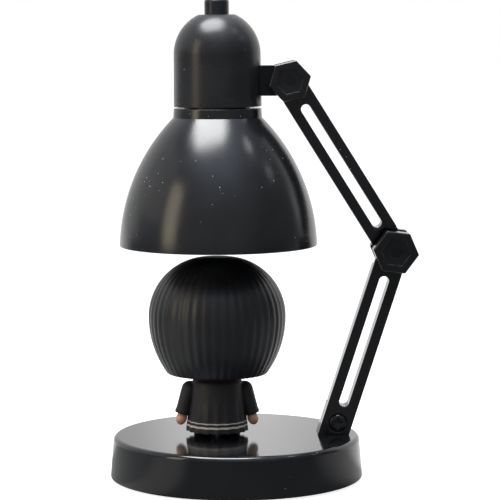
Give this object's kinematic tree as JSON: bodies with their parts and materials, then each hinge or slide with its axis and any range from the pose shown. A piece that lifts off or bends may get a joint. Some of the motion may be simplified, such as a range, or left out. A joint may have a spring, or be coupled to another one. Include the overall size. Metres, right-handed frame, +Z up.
{
  "type": "mini desk lamp",
  "caption": "Small black desk lamp with a round weighted base, a hinged slotted swing arm, a bell shade under a domed cap with a push button, and a doll on the base.",
  "frame": {"origin": "on the table, under the centre of the round base", "axes": "+Z up, +X from the base's centre towards the foot of the arm, +Y the way the doll faces"},
  "size_m": [0.0749, 0.0616, 0.1184],
  "materials": {
    "gloss_black": "polished moulded plastic",
    "satin_black": "satin moulded plastic",
    "steel": "plain steel",
    "dark_steel": "black oxide",
    "foam": "matt foam",
    "brass": "plain",
    "board_green": "solder mask",
    "lens": "clear moulded lens",
    "doll_black": "soft matt vinyl",
    "hair_black": "soft satin vinyl",
    "skin": "soft matt vinyl"
  },
  "bodies": {
    "stand": {"base_shell": "gloss_black", "base_plate": "gloss_black", "base_weight": "steel", "base_screws": "steel", "foot_pad": "foam", "lower_arm": "gloss_black", "foot_screw": "dark_steel", "elbow_bolt": "gloss_black", "elbow_washer": "foam", "elbow_nut": "gloss_black", "doll_legs": "doll_black", "doll_dress": "doll_black", "doll_sleeves": "doll_black", "doll_hands": "skin", "doll_head": "skin", "doll_hair": "hair_black", "doll_fringe": "hair_black", "doll_screw": "steel"},
    "arm": {"upper_arm": "gloss_black", "head_bolt": "gloss_black", "head_washer": "foam", "head_nut": "gloss_black"},
    "head": {"cap_housing": "satin_black", "shade": "satin_black", "battery_holder": "gloss_black", "battery_cells": "steel", "top_contact": "brass", "contact_strip": "brass", "contact_spring": "brass", "led_board": "board_green", "led": "lens", "battery_door": "gloss_black", "door_screws": "steel", "switch_body": "gloss_black", "button_spring": "steel"},
    "button": {"push_button": "gloss_black"}
  },
  "joints": [
    {"name": "elbow", "type": "hinge", "parent": "stand", "child": "arm", "pos_m": [0.03879, 0, 0.05674], "axis": [0, 1, 0], "range_deg": [-8, 50]},
    {"name": "head_tilt", "type": "hinge", "parent": "arm", "child": "head", "pos_m": [0.0123, 0, 0.0988], "axis": [0, 1, 0], "range_deg": [-5, 75]},
    {"name": "button_press", "type": "slide", "parent": "head", "child": "button", "axis": [0, 0, -1], "range_m": [0, 0.0012], "stiffness_N_per_m": 250, "springref_m": -0.002, "deforming": ["button_spring"]}
  ]
}
